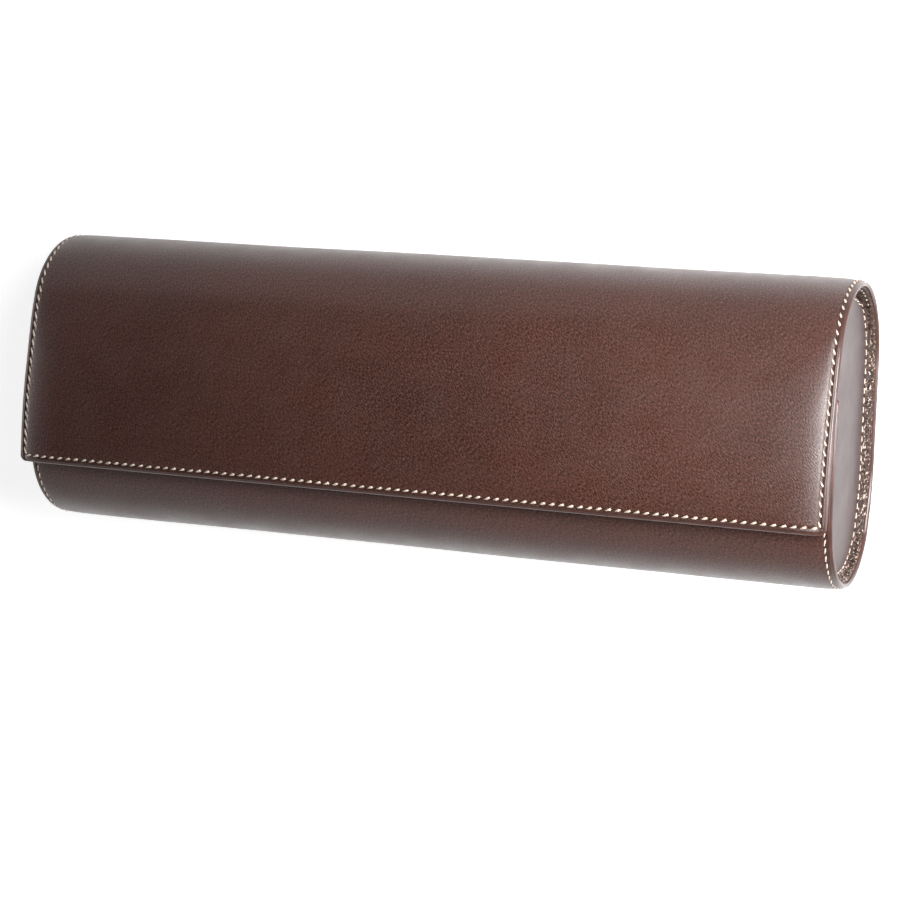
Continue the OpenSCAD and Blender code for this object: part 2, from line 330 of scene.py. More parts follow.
# %% [markdown]
# ## Floor, backdrop and light
# The photograph is cut out on white. A pale sweep, floor and wall in one, is lit by the
# lamps and keeps the case's shadow, and a little white that only the camera and the
# reflections see brings it up to the photograph's white, so no extra light falls on the
# leather. One soft lamp stands close to the right end, because the leather is nearly four
# times darker at its left end: a far lamp could not fall off like that. A second one, low on
# the right, draws the bright line along the painted edge, and two weak ones fill the shade.

# %% The floor's paint, which glows a little
paint_share, glow_share = 0.74, 0.8


def white_rays(tree):
    """1 for what the camera, a reflection or a refraction sees, and 0 for diffuse light."""
    path = add(tree, "LightPath").outputs
    some = worked_out(tree, "MAXIMUM", path["Is Camera Ray"], path["Is Glossy Ray"])
    return worked_out(tree, "MAXIMUM", some, path["Is Transmission Ray"])


floor_material = bpy.data.materials.new("pale_floor")
tree = empty_tree(floor_material)
paint = add(tree, "BsdfDiffuse", {"Color": (paint_share, paint_share, paint_share, 1)})
glow = add(tree, "Emission", {"Color": (1, 1, 1, 1), "Strength": glow_share})
no_glow = add(tree, "Emission", {"Strength": 0.0})
seen_glow = add(tree, "MixShader", {0: white_rays(tree), 1: no_glow.outputs[0], 2: glow.outputs[0]})
both = add(tree, "AddShader", {0: paint.outputs[0], 1: seen_glow.outputs[0]})
add(tree, "OutputMaterial", {"Surface": both.outputs[0]})
print("floor:", floor_material.name)

# %% Floor and backdrop in one sweep, and the room
sweep_reach, sweep_bend, sweep_height = 2.2, 0.7, 1.9
room_light = 0.018
flat_reach = sweep_reach - sweep_bend
profile = [(r, 0) for r in np.linspace(0.02, flat_reach, 5)]
profile += [(flat_reach + sweep_bend * sin(a), sweep_bend - sweep_bend * cos(a))
            for a in range(15, 91, 15)] + [(sweep_reach, sweep_height)]
steps = 64
floor_mesh = bpy.data.meshes.new("studio_sweep")
floor_mesh.from_pydata(
    [(r * cos(360 * k / steps), r * sin(360 * k / steps), z) for r, z in profile
     for k in range(steps)], [],
    [tuple(range(steps))] + [
        (n * steps + k, (n + 1) * steps + k, (n + 1) * steps + (k + 1) % steps,
         n * steps + (k + 1) % steps) for n in range(len(profile) - 1) for k in range(steps)])
floor_mesh.shade_smooth()
floor_mesh.materials.append(floor_material)
floor = new_object("studio_sweep", floor_mesh)

world = bpy.data.worlds.new("studio")
bpy.context.scene.world = world
tree = empty_tree(world)
room = add(tree, "Background", {"Color": (1, 1, 1, 1), "Strength": room_light})
add(tree, "OutputWorld", {"Surface": room.outputs[0]})
print("sweep: %.1f m across" % (2 * sweep_reach))


# %% Lamps
def softbox(name, place, aim, width, height, power, spread_angle=180):
    """A rectangle that shines at aim, with its power in watts."""
    data = bpy.data.lights.new(name, "AREA")
    data.shape, data.size, data.size_y, data.energy = "RECTANGLE", width, height, power
    data.spread = math.radians(spread_angle)
    lamp = new_object(name, data)
    lamp.location = place
    lamp.rotation_euler = (Vector(aim) - Vector(place)).to_track_quat("-Z", "Y").to_euler()
    lamp.visible_camera = False


middle_height = 0.03
right_part, left_end = (0.12, 0, middle_height), (-0.14, 0, middle_height)
softbox("right_softbox", (0.30, 0.12, 0.45), right_part, 0.3, 0.13, 0.74, spread_angle=72)
softbox("edge_softbox", (0.70, 0.00, 0.26), right_part, 0.14, 0.4, 3.0)
softbox("front_fill", (0.15, -0.8, 0.7), (0, 0, middle_height), 0.8, 0.5, 0.15)
softbox("left_fill", (-0.7, 0, 0.1), left_end, 0.4, 0.3, 1.4)

# %% [markdown]
# ## Smooth calf leather
# The wrap is fine-grained calf: short creases lean to one side, with pores between them, the
# brown drifts a little over the hide, and the leather is darker towards its cut edges.
# Cell textures gave a wormy grain, so the creases are a noise that is turned and squeezed.
# It lies on the skin's own coordinates (along the case, and along the section), so it rolls
# round the ridge with the leather. Each skin carries "edge", its distance from the nearest
# cut edge in millimetres: the brown darkens towards the edge, and along the line of the
# stitches a painted shade stands in for the shadow in the groove and the stitch holes.

# %% Leather
grain_turn, grain_squeeze, grain_scale, pore_scale = -46, 2.4, 1100, 2100
fleck_brown = rgb(176, 150, 138)


def leather_material(name, dark, light, roughness, grain_depth, sheen, gloss_level, stitch_line,
                     contrast=1.0):
    material, tree, shader = new_material(name)
    skin = add(tree, "UVMap", uv_map="hide").outputs["UV"]
    drift = noise(tree, scaled(tree, skin, (16, 26, 1)), 1.0, detail=5, roughness=0.6)
    red = noise(tree, scaled(tree, skin, (31, 45, 1)), 1.0, detail=3)
    slanted = scaled(tree, scaled(tree, skin, (1, 1, 1), turn=grain_turn), (1, grain_squeeze, 1))
    creases = noise(tree, slanted, grain_scale, detail=2, roughness=0.55)
    pores = noise(tree, skin, pore_scale, detail=2)

    brown = cloudy(tree, drift, 0.3, 0.7, dark, light)
    redder = (light[0] * 1.05, light[1] * 0.86, light[2] * 0.84, 1)
    brown = mixed(tree, spread(tree, red, 0.45, 0.75, 0, 0.6), brown, redder)
    crease_and_seam_shade = darker(dark)
    raised = tuple(c * 1.4 + 0.018 for c in light[:3]) + (1,)
    brown = mixed(tree, spread(tree, creases, 0.36, 0.5, contrast, 0.0), brown, crease_and_seam_shade)
    brown = mixed(tree, spread(tree, creases, 0.5, 0.66, 0.0, contrast), brown, raised)
    brown = mixed(tree, spread(tree, pores, 0.35, 0.65, 0.3, 0.0), brown, crease_and_seam_shade)
    nick = add(tree, "TexVoronoi", {"Vector": skin, "Scale": 55.0}, feature="F1")
    brown = mixed(tree, spread(tree, nick.outputs["Distance"], 0.012, 0.022, 0.45, 0.0), brown,
                  fleck_brown)

    # darker towards the cut edge; painted shade along the stitch line, standing in for the
    # shadow of the groove and the stitch holes
    edge = add(tree, "Attribute", attribute_name="edge").outputs["Fac"]
    brown = mixed(tree, spread(tree, edge, 0.4, 2.0, 0.5, 0.0), brown, crease_and_seam_shade)
    off_line = worked_out(tree, "ABSOLUTE", worked_out(tree, "SUBTRACT", edge, stitch_line))
    brown = mixed(tree, spread(tree, off_line, 0.15, 0.75, 0.55, 0.0), brown, crease_and_seam_shade)

    gloss = spread(tree, noise(tree, skin, 95, detail=5), 0.3, 0.7, roughness - 0.04,
                   roughness + 0.06)
    relief = worked_out(tree, "ADD", creases, spread(tree, pores, 0, 1, 0, 0.4))
    finish(tree, shader, relief, 1.0, grain_depth, base_color=brown, roughness=gloss,
           specular_ior_level=gloss_level, sheen_weight=sheen, sheen_roughness=0.35,
           sheen_tint=(0.92, 0.86, 0.9, 1), coat_weight=0.1, coat_roughness=0.3)
    return material


# stitch_line is where the painted shade of the stitch groove lies, in mm from the cut edge
calf = leather_material("calf_leather", rgb(66, 39, 32), rgb(84, 50, 41), roughness=0.37,
                        grain_depth=0.08 * mm, sheen=0.02, gloss_level=0.5, stitch_line=1.75)
gusset_calf = leather_material("gusset_leather", rgb(62, 44, 44), rgb(74, 54, 54), roughness=0.4,
                               grain_depth=0.03 * mm, sheen=0.05, gloss_level=0.25,
                               stitch_line=1.3, contrast=0.4)
print("leathers:", calf.name, gusset_calf.name)

# %% [markdown]
# ## Painted edge, suede, thread and the hidden materials
# Cut edges are sanded, burnished and painted, which leaves a smooth, slightly glossy bead.
# The turned flange shows the rough flesh side of the leather. Suede is a nap of short fibres
# that lie differently from patch to patch, so it gets a strong sheen and a cloudy colour.
# Waxed linen thread is cream with a twist. Boards, foam and magnets are inside the walls.

# %% Painted edge
def edge_material():
    material, tree, shader = new_material("edge_paint")
    where = object_space(tree)
    cloud, layers = noise(tree, where, 160, detail=2), noise(tree, where, 500, detail=2)
    finish(tree, shader, cloud, 0.3, 0.03 * mm,
           base_color=cloudy(tree, cloud, 0.35, 0.7, rgb(66, 40, 34), rgb(88, 56, 48)),
           roughness=spread(tree, layers, 0.3, 0.7, 0.3, 0.42),
           specular_ior_level=0.3, coat_weight=0.45, coat_roughness=0.15)
    return material


edge_paint = edge_material()
print("painted edge:", edge_paint.name)


# %% Suede
def nap_material(name, dark, light, scale, depth, sheen):
    material, tree, shader = new_material(name)
    where = object_space(tree)
    cloud = noise(tree, where, 75 * scale, detail=5, roughness=0.6)
    fibre = noise(tree, scaled(tree, where, (1, 0.55, 0.8), turn=25), 2400 * scale, detail=3,
                  roughness=0.7, distortion=0.4)
    tone = cloudy(tree, cloud, 0.32, 0.68, dark, light)
    tone = mixed(tree, spread(tree, fibre, 0.3, 0.75, 0.45, 0.0), tone, darker(dark))
    finish(tree, shader, worked_out(tree, "ADD", cloud, fibre), 0.7, depth, base_color=tone,
           roughness=0.9, specular_ior_level=0.25, sheen_weight=sheen, sheen_roughness=0.5,
           sheen_tint=light)
    return material


suede = nap_material("suede_lining", rgb(86, 62, 50), rgb(108, 80, 64), 1.0, 0.12 * mm, 0.4)
cushion_suede = nap_material("cushion_suede", rgb(112, 84, 66), rgb(136, 106, 84), 0.8,
                             0.15 * mm, 0.5)
print("suedes:", suede.name, cushion_suede.name)

# %% Rough flesh side
glints_full_up_to, glints_gone_from = 18 * mm, 36 * mm


def rough_band_material(name, flecks):
    """flecks is the share of pale flecks low on the end, fibre tips with painted glints; towards
    the ridge, where shade falls, they die away as painted shade."""
    material, tree, shader = new_material(name)
    where = object_space(tree)
    lumps = add(tree, "TexVoronoi", {"Vector": where, "Scale": 1500.0}, feature="SMOOTH_F1")
    crumb = noise(tree, where, 1300, detail=3, roughness=0.65)
    fibre = noise(tree, scaled(tree, where, (1, 0.6, 1), turn=20), 1500, detail=2)
    tone = cloudy(tree, crumb, 0.4, 0.66, rgb(24, 15, 12), rgb(92, 66, 56))
    # painted glints: pale flecks, full low on the end and fading towards the ridge as painted shade
    across = add(tree, "SeparateXYZ", {"Vector": where}).outputs["Y"]
    glint_fade = spread(tree, across, glints_full_up_to, glints_gone_from, flecks, 0.1)
    painted_glint = worked_out(tree, "MULTIPLY", spread(tree, fibre, 0.57, 0.65, 0, 1), glint_fade)
    tone = mixed(tree, painted_glint, tone, rgb(214, 192, 178))
    finish(tree, shader, worked_out(tree, "ADD", lumps.outputs["Distance"], crumb), 1.0, 0.3 * mm,
           base_color=tone, roughness=0.5, specular_ior_level=0.4)
    return material


# the flange low on the ends gets many painted glints, the facing round the shaded ridge few
rough_band = rough_band_material("rough_band", 0.85)
rough_facing = rough_band_material("rough_facing", 0.1)
print("rough sides:", rough_band.name, rough_facing.name)


# %% Thread
def thread_material():
    """Cream and waxed, with painted shade where a stitch dives into its hole and along its thin
    tail.
    """
    material, tree, shader = new_material("linen_thread")
    wax = noise(tree, object_space(tree), 900, detail=3)
    tone = cloudy(tree, wax, 0.35, 0.7, rgb(222, 200, 180), rgb(244, 228, 212))
    painted_hole_shade = add(tree, "Attribute", attribute_name="hole_shade").outputs["Fac"]
    # painted shade: the thread darkens where it dives into its hole and along its thin tail
    tone = mixed(tree, painted_hole_shade, tone, rgb(160, 106, 68))
    finish(tree, shader, wax, 0.35, 0.06 * mm, base_color=tone, roughness=0.5,
           specular_ior_level=0.5, sheen_weight=0.2)
    return material


thread = thread_material()
print("thread:", thread.name)


# %% Board, foam and magnets, which stay inside
def plain_material(name, dark, light, scale, roughness, metal=0.0):
    material, tree, shader = new_material(name)
    flecks = noise(tree, object_space(tree), scale, detail=5, roughness=0.65)
    finish(tree, shader, flecks, 0.3, 0.1 * mm,
           base_color=cloudy(tree, flecks, 0.35, 0.7, dark, light),
           roughness=spread(tree, flecks, 0.3, 0.7, roughness - 0.06, roughness + 0.06),
           metallic=metal)
    return material


fibre_board = plain_material("fibre_board", rgb(168, 146, 112), rgb(196, 176, 142), 700, 0.8)
foam = plain_material("cushion_former", rgb(206, 198, 182), rgb(228, 222, 208), 1500, 0.85)
nickel = plain_material("nickel_magnet", rgb(150, 152, 156), rgb(186, 188, 192), 400, 0.3, 1.0)


def dress(material, *names):
    for name in names:
        data = nodes[name].data
        data.materials.clear()
        data.materials.append(material)


dress(fibre_board, "left_gusset_board", "right_gusset_board")
dress(nickel, "body_magnets", "flap_magnets")
dress(foam, *["cushion_core_%d" % n for n in range(1, 5)])
dress(suede, "left_gusset_lining", "right_gusset_lining")
print("materials:", len(bpy.data.materials))

# %% [markdown]
# ## How a sheet of leather is meshed
# A Solidify modifier on a bent plane would give the thickness, but not the rounded cut edge,
# the drawn-down rim or the groove that the stitches lie in. So a sheet is swept along the
# chain as two grids, outside and inside. Its columns are closer together near the cut edges,
# and every vertex knows its distance from the nearest edge, from which its depth follows.
# The board stops short of the seams, so there leather and lining are pinched together: the
# leather dips to the stitches, which gives the soft highlight beside them.

# %% Relief of a sewn sheet
stitch_margin = 1.75 * mm
rim_radius = 0.6 * mm
groove_depth, groove_width = 0.16 * mm, 0.5 * mm


def rim(distance, radius):
    """Depth of a rounded cut edge at this distance from it."""
    if distance >= radius:
        return 0.0
    return radius - math.sqrt(max(radius ** 2 - (radius - distance) ** 2, 0))


def smooth(value):
    value = min(max(value, 0.0), 1.0)
    return value * value * (3 - 2 * value)


def groove(distance):
    return groove_depth * math.exp(-((distance - stitch_margin) / groove_width) ** 2)


print("stitches lie %.2f mm from the edge" % (stitch_margin / mm))

# %% The pinch at the seams
cut_inset = 0.15 * mm
seam_line, rim_thickness = 1.4 * mm, 1.75 * mm
curved_dip, curved_fall = 0.5 * mm, 2.4 * mm
flat_dip, flat_fall = 1.7 * mm, 4.8 * mm
edge_dip, edge_rise = 0.4 * mm, 0.9 * mm
ridge_end = base_flat + run_length(ridge_turn, ridge_radius)
flat_from_ridge = 24 * mm


def fade(distance, amount, fall):
    """A layer's draw towards a seam: full up to the stitches, then dying away inside."""
    return amount * math.exp(-max(distance - seam_line, 0) / fall)


def pinch(chain, x, s):
    """How far the leather dips and the lining rises here. On the flap, where the leather
    isn't stretched over a curve, it is padded more and so dips deeper."""
    flat = smooth((s - ridge_end) / flat_from_ridge) if chain is wrap else 0.0
    dip = curved_dip + (flat_dip - curved_dip) * flat
    fall = curved_fall + (flat_fall - curved_fall) * flat
    from_side = half_length - abs(x)
    from_end = chain.length - s if chain is wrap else 1.0
    return (max(fade(from_side, dip, fall), fade(from_end, edge_dip, curved_fall)),
            max(fade(from_side, wall - rim_thickness - dip, curved_fall),
                fade(from_end, edge_rise, curved_fall)))


def leather_dip(chain, x, s):
    return pinch(chain, x, s)[0]


def lining_rise(chain, x, s):
    return -pinch(chain, x, s)[1]


def no_pinch(chain, x, s):
    return 0.0


print("wall at the seams: %.2f mm, elsewhere %.2f mm" % (rim_thickness / mm, wall / mm))

# %% The unevenness of a hide on its board
wave_height = 0.07 * mm
wave_phases = random.uniform(0, 2 * math.pi, 8)


def hide_wave(x, s):
    """Three long, shallow waves across each other."""
    x, s = x / mm, s / mm
    return wave_height * (math.sin(x / 23 + wave_phases[0] + 0.8 * math.sin(s / 31))
                          + 0.8 * math.sin(s / 19 + x / 61 + wave_phases[1])
                          + 0.5 * math.sin(x / 11 - s / 17 + wave_phases[2]))


print("hide: waves of %.2f mm" % (wave_height / mm))

# %% Making a mesh
sharp_angle = 55


def make_object(name, vertices, faces, material):
    mesh = bpy.data.meshes.new(name)
    mesh.from_pydata([tuple(v) for v in vertices], [], faces)
    mesh.validate()
    mesh.materials.append(material)
    mesh.shade_smooth()
    mesh.set_sharp_from_angle(angle=math.radians(sharp_angle))
    print("%s: %d faces" % (name, len(mesh.polygons)))
    return new_object(name, mesh)


def face_outward(made):
    """Turns all faces of a closed piece outward."""
    mesh = bmesh.new()
    mesh.from_mesh(made.data)
    bmesh.ops.recalc_face_normals(mesh, faces=mesh.faces)
    mesh.to_mesh(made.data)
    mesh.free()


print("edges sharper than %d degrees stay sharp" % sharp_angle)


# %% Faces between rings of points
def between_rings(count, sides, first=0, joined=False):
    """Faces between rings of points that lie one after another, from vertex number first;
    joined goes on from the last ring to the first."""
    faces = []
    for i in range(count if joined else count - 1):
        here, ahead = first + i * sides, first + (i + 1) % count * sides
        for k in range(sides):
            after = (k + 1) % sides
            faces.append((here + k, here + after, ahead + after, ahead + k))
    return faces


def tube(count, sides, first=0):
    """Faces of a tube of rings, closed at both ends."""
    last = first + (count - 1) * sides
    return between_rings(count, sides, first) + [
        tuple(reversed(range(first, first + sides))), tuple(range(last, last + sides))]


def swept(name, rings, material):
    """A closed tube through rings of points."""
    made = make_object(name, [p for ring in rings for p in ring],
                       tube(len(rings), len(rings[0])), material)
    face_outward(made)
    return made


def mark_skin(made, edges, hide):
    """Gives each point its distance from the cut edge in mm, and its place on the hide."""
    data = made.data
    data.attributes.new("edge", "FLOAT", "POINT").data.foreach_set("value", edges)
    corners = np.zeros(len(data.loops), int)
    data.loops.foreach_get("vertex_index", corners)
    uv = data.uv_layers.new(name="hide")
    uv.data.foreach_set("uv", np.array(hide)[corners].ravel())


print("a tube of 3 rings of 8 points has %d faces" % len(tube(3, 8)))

# %% Where a sheet's points lie: closer together near its cut edges
edge_steps = [d * mm for d in (0, 0.06, 0.16, 0.32, 0.55, 0.85, 1.15, 1.4, 1.6, 1.8, 2.0, 2.2,
                               2.4, 2.65, 3.0, 3.6, 4.4, 5.4, 6.6, 8.2, 10)]


def columns_of(half_width, spacing=2.4 * mm):
    margin = edge_steps[-1]
    count = max(2, round(2 * (half_width - margin) / spacing))
    middle = list(np.linspace(margin - half_width, half_width - margin, count + 1))
    return ([d - half_width for d in edge_steps[:-1]] + middle
            + [half_width - d for d in reversed(edge_steps[:-1])])


def stations_of(start, end, edge_at_end=False, spacing=1.3 * mm):
    if not edge_at_end:
        return list(np.linspace(start, end, round((end - start) / spacing) + 1))
    last = end - edge_steps[-1]
    return (list(np.linspace(start, last, round((last - start) / spacing) + 1))[:-1]
            + [end - d for d in reversed(edge_steps)])


print("edge steps: %d within %.0f mm" % (len(edge_steps), edge_steps[-1] / mm))

# %% Sweeping a sheet
wave_from_edge = 12 * mm
far_from_edge = 9.0


def sweep_sheet(name, chain, stations, outer, inner, material, corner=0.0, edge_at_end=False,
                sewn=True, rim_size=rim_radius, half_width=half_length - cut_inset, wave=1.0,
                inside_rim=0.15 * mm, pull=no_pinch):
    """Two grids, between the depths outer and inner, joined round the rim. corner rounds the
    two corners at the chain's end, and pull says how far the seams draw the sheet in."""
    columns = columns_of(half_width)
    outside, inside, edges, hide = [], [], [], []
    for s in stations:
        place = chain.place(s)
        from_end = stations[-1] - s if edge_at_end else 1.0
        pulled = rim(from_end, corner)
        for x in columns:
            x *= (half_width - pulled) / half_width
            from_side = half_width - abs(x)
            if from_side < corner and from_end < corner:
                distance = corner - math.hypot(corner - from_side, corner - from_end)
            else:
                distance = min(from_side, from_end)
            distance = max(distance, 0.0)
            drawn = pull(chain, x, s)
            depth = outer + drawn + rim(distance, rim_size)
            depth += wave * hide_wave(x, s * chain.side) * smooth(distance / wave_from_edge)
            if sewn:
                depth += max(groove(from_side + cut_inset), groove(from_end + cut_inset))
            y, z = at_depth(place, chain.side, depth)
            outside.append((x, y, z))
            y, z = at_depth(place, chain.side, inner + drawn - rim(distance, inside_rim))
            inside.append((x, y, z))
            edges.append((distance + cut_inset) / mm)
            hide.append((x + half_length, s * chain.side))
    wide, count = len(columns), len(outside)
    faces = []
    flip = chain.side > 0

    def quad(a, b, c, d):
        faces.append((a, b, c, d) if flip else (d, c, b, a))

    for i in range(len(stations) - 1):
        for j in range(wide - 1):
            a, b = i * wide + j, i * wide + j + 1
            quad(a, b, b + wide, a + wide)
            quad(count + a, count + a + wide, count + b + wide, count + b)
        left, right = i * wide, i * wide + wide - 1
        quad(left + wide, count + left + wide, count + left, left)
        quad(right, count + right, count + right + wide, right + wide)
    last = (len(stations) - 1) * wide
    for j in range(wide - 1):
        quad(count + j, count + j + 1, j + 1, j)
        a = last + j
        quad(a, a + 1, count + a + 1, count + a)
    made = make_object(name, outside + inside, faces, material)
    mark_skin(made, edges + [far_from_edge] * count, hide + hide)
    return made


print("a sheet stops %.2f mm short of the case's ends, under the beads" % (cut_inset / mm))


# %% [markdown]
# ## The wrap's skin
# On the real case one hide runs from the mouth round the toe, the back and the ridge to the
# flap's edge. It is made here as two sheets that meet on the flat back: the front one stays
# with the body, and the other bends at the fold low on the ridge when the flap opens. The
# second is a blended piece, so it stays whole in every pose.

# %% Front skin, and the skin of back, ridge and flap
flap_corner = 1.8 * mm
sheet_corner = flap_corner - cut_inset
fold_low = wrap.point(0, fold_start, 0)
fold_high = wrap.point(0, fold_end, 0)

front_skin = sweep_sheet("front_skin", front, stations_of(0, front.length), 0, leather, calf,
                         pull=leather_dip)
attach(front_skin, "case_body")
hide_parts("body_cover")

wrap_skin = sweep_sheet("wrap_skin", wrap, stations_of(0, wrap.length - cut_inset, True), 0,
                        leather, calf, corner=sheet_corner, edge_at_end=True, pull=leather_dip)
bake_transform(wrap_skin)
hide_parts("flap_cover", "hinge_fold")

# %% [markdown]
# ## Suede linings
# The lining is a thin suede sheet, glued parallel to the leather. At the fold there is no
# board, so the lining dips down to the leather and bends with it. That strip is a piece of
# its own, because it alone bends, and its edges lie over the linings on both sides.

# %% Linings of body and flap
under_fold = 2.2 * mm
lining_look = {"sewn": False, "wave": 0, "rim_size": 0.1 * mm, "pull": lining_rise}
for name, chain, end in (("front_lining", front, front.length),
                         ("back_lining", wrap, fold_start - under_fold)):
    piece = sweep_sheet(name, chain, stations_of(0, end), wall - lining, wall, suede, **lining_look)
    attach(piece, "case_body")
    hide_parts("body_lining")
flap_lining = sweep_sheet("flap_lining_suede", wrap,
                          stations_of(fold_end + under_fold, wrap.length - cut_inset, True),
                          wall - lining, wall, suede, corner=sheet_corner, edge_at_end=True,
                          **lining_look)
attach(flap_lining, "flap")
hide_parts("flap_lining")

# %% The lining of the fold
fold_turned_in, fold_slope, fold_from_end = 2.6 * mm, 2.2 * mm, 0.5 * mm
fold_suede, fold_sunk, fold_ripple = 0.5 * mm, 0.25 * mm, 0.06 * mm


def fold_lining_sheet():
    """A strip whose depth dips from the linings on both sides down to the leather. Each
    column and station has two points, the upper and the lower side."""
    vertices, faces = [], []
    stations = np.linspace(fold_start - fold_turned_in, fold_end + fold_turned_in, 25)
    columns = columns_of(half_length - fold_from_end)
    for s in stations:
        dip = smooth(min(s - stations[0], stations[-1] - s) / fold_slope)
        for x in columns:
            on_lining = wall + lining_rise(wrap, x, s) - 0.05 * mm
            on_leather = leather + leather_dip(wrap, x, s) + 0.02 * mm
            low = on_lining * (1 - dip) + on_leather * dip
            ripple = fold_ripple * dip * math.sin(x / (7 * mm) + 2 * math.sin(x / (31 * mm)))
            for depth in (low + fold_suede + ripple, low - fold_sunk * (1 - dip)):
                vertices.append(wrap.point(x, s, depth))
    wide = len(columns)
    for i in range(len(stations) - 1):
        for j in range(wide - 1):
            a = 2 * (i * wide + j)
            b, c, d = a + 2, a + 2 + 2 * wide, a + 2 * wide
            faces += [(a, d, c, b), (a + 1, b + 1, c + 1, d + 1)]
    for i in range(len(stations) - 1):
        for j in (0, wide - 1):
            a, d = 2 * (i * wide + j), 2 * ((i + 1) * wide + j)
            faces.append((a, a + 1, d + 1, d) if j == 0 else (a, d, d + 1, a + 1))
    for j in range(wide - 1):
        a, b = 2 * j, 2 * j + 2
        faces.append((a, b, b + 1, a + 1))
        a, b = a + 2 * wide * (len(stations) - 1), b + 2 * wide * (len(stations) - 1)
        faces.append((a, a + 1, b + 1, b))
    return make_object("fold_lining", vertices, faces, suede)


fold_lining = fold_lining_sheet()
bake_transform(fold_lining)
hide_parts("hinge_lining")

# %% Boards, cut short of the seams
board_margin, mouth_margin, glue = 9 * mm, 1 * mm, 0.02 * mm
board_look = {"sewn": False, "wave": 0, "rim_size": 0.3 * mm, "inside_rim": 0.3 * mm,
              "half_width": half_length - board_margin}
for name, chain, stations, body, node in (
        ("front_board", front, stations_of(0, front.length - mouth_margin), "case_body",
         "body_board"),
        ("back_board", wrap, stations_of(0, fold_start - under_fold), "case_body", "body_board"),
        ("flap_stiffener", wrap, stations_of(fold_end + under_fold, wrap.length - board_margin),
         "flap", "flap_board")):
    piece = sweep_sheet(name, chain, stations, leather + glue, leather + board - glue, fibre_board,
                        **board_look)
    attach(piece, body)
    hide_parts(node)

# %% [markdown]
# ## Painted edges
# Round the flap, and up the two ends of the body, the cut edge is one smooth painted bead.
# The leather is shaved to a bevel before it is painted, a shallow groove stays over the glued
# joint, and the lining makes a rounder lip. A plain round bead gave one broad gleam; the
# bevel and the lip give the two thin lines of light that the real edge has. The section is
# swept along the outline of the sheet. The mouth's edge is rounder: there the leather is
# turned over the whole thickness.

# %% The section of a bead, swept along an outline
bead_crown, bead_lap, bead_start = 0.5 * mm, 0.3 * mm, 0.25 * mm
bead_shares = ((0, 0), (0.4, 0.02), (0.75, 0.15), (0.97, 0.27), (1, 0.36), (0.9, 0.44),
               (0.82, 0.5), (0.9, 0.6), (0.96, 0.7), (0.9, 0.84), (0.6, 0.96), (0, 1))


def sweep_bead(name, chain, outline):
    """outline is a list of (x, s, outward x, outward s, low depth, high depth), and
    bead_shares gives the section, as shares of its reach outward and of its depth."""
    rings = []
    for x, s, out_x, out_s, low, high in outline:
        direction = Vector((out_x, 0, 0)) + out_s * chain.tangent(s)
        rings.append([chain.point(x, s, low + (high - low) * down)
                      + ((bead_lap + bead_crown) * out - bead_lap) * direction
                      for out, down in bead_shares])
    made = swept(name, rings, edge_paint)
    return made


def rim_depths(chain, x, s):
    """Where leather and lining end at the cut edge."""
    dip, rise = pinch(chain, x, s)
    return (dip + bead_start, wall - rise)


print("bead: %.2f mm proud, %d points round" % (bead_crown / mm, len(bead_shares)))


# %% Beads along the cut edges
def side_outline(chain, side, start, end, spacing=1.2 * mm):
    return [(side * half_length, s, side, 0.0) + rim_depths(chain, half_length, s)
            for s in np.linspace(start, end, round(abs(end - start) / spacing) + 1)]


def corner_outline(side, steps=8):
    """Round the corner of the flap, from its side to its free edge."""
    return [(side * (half_length - flap_corner + flap_corner * cos(angle)),
             wrap.length - flap_corner + flap_corner * sin(angle), side * cos(angle), sin(angle))
            + rim_depths(wrap, half_length, wrap.length)
            for angle in (90 * i / steps for i in range(1, steps + 1))]


flap_outline = side_outline(wrap, -1, fold_end, wrap.length - flap_corner) + corner_outline(-1)
flap_outline += [(x, wrap.length, 0.0, 1.0) + rim_depths(wrap, x, wrap.length) for x in
                 np.linspace(-half_length + flap_corner, half_length - flap_corner, 160)[1:-1]]
flap_outline += list(reversed(corner_outline(1)))
flap_outline += side_outline(wrap, 1, wrap.length - flap_corner, fold_end)
flap_bead = sweep_bead("flap_edge_bead", wrap, flap_outline)
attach(flap_bead, "flap")

fold_overlap = 0.4 * mm
for side, label in both_ends:
    for name, chain, low, high in (("front_edge_bead", front, 0, front.length),
                                   ("back_edge_bead", wrap, 0, fold_start)):
        bead = sweep_bead("%s_%s" % (label, name), chain, side_outline(chain, side, low, high))
        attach(bead, "case_body")
    bead = sweep_bead("%s_fold_bead" % label, wrap, side_outline(
        wrap, side, fold_start - fold_overlap, fold_end + fold_overlap, spacing=0.5 * mm))
    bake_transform(bead)

# %% The rounded edge of the mouth
mouth_steps = [d * mm for d in (-0.4, -0.3, 0, 0.3, 0.7, 1.2, 1.8, 2.6, 3.6, 5, 7, 9)]
mouth_middle, mouth_stations = 11 * mm, 110
mouth_tuck, mouth_bump = 0.6 * mm, 0.04 * mm
end_shares = [0.55, 0.85] + [1.0] * (len(mouth_steps) - 2)


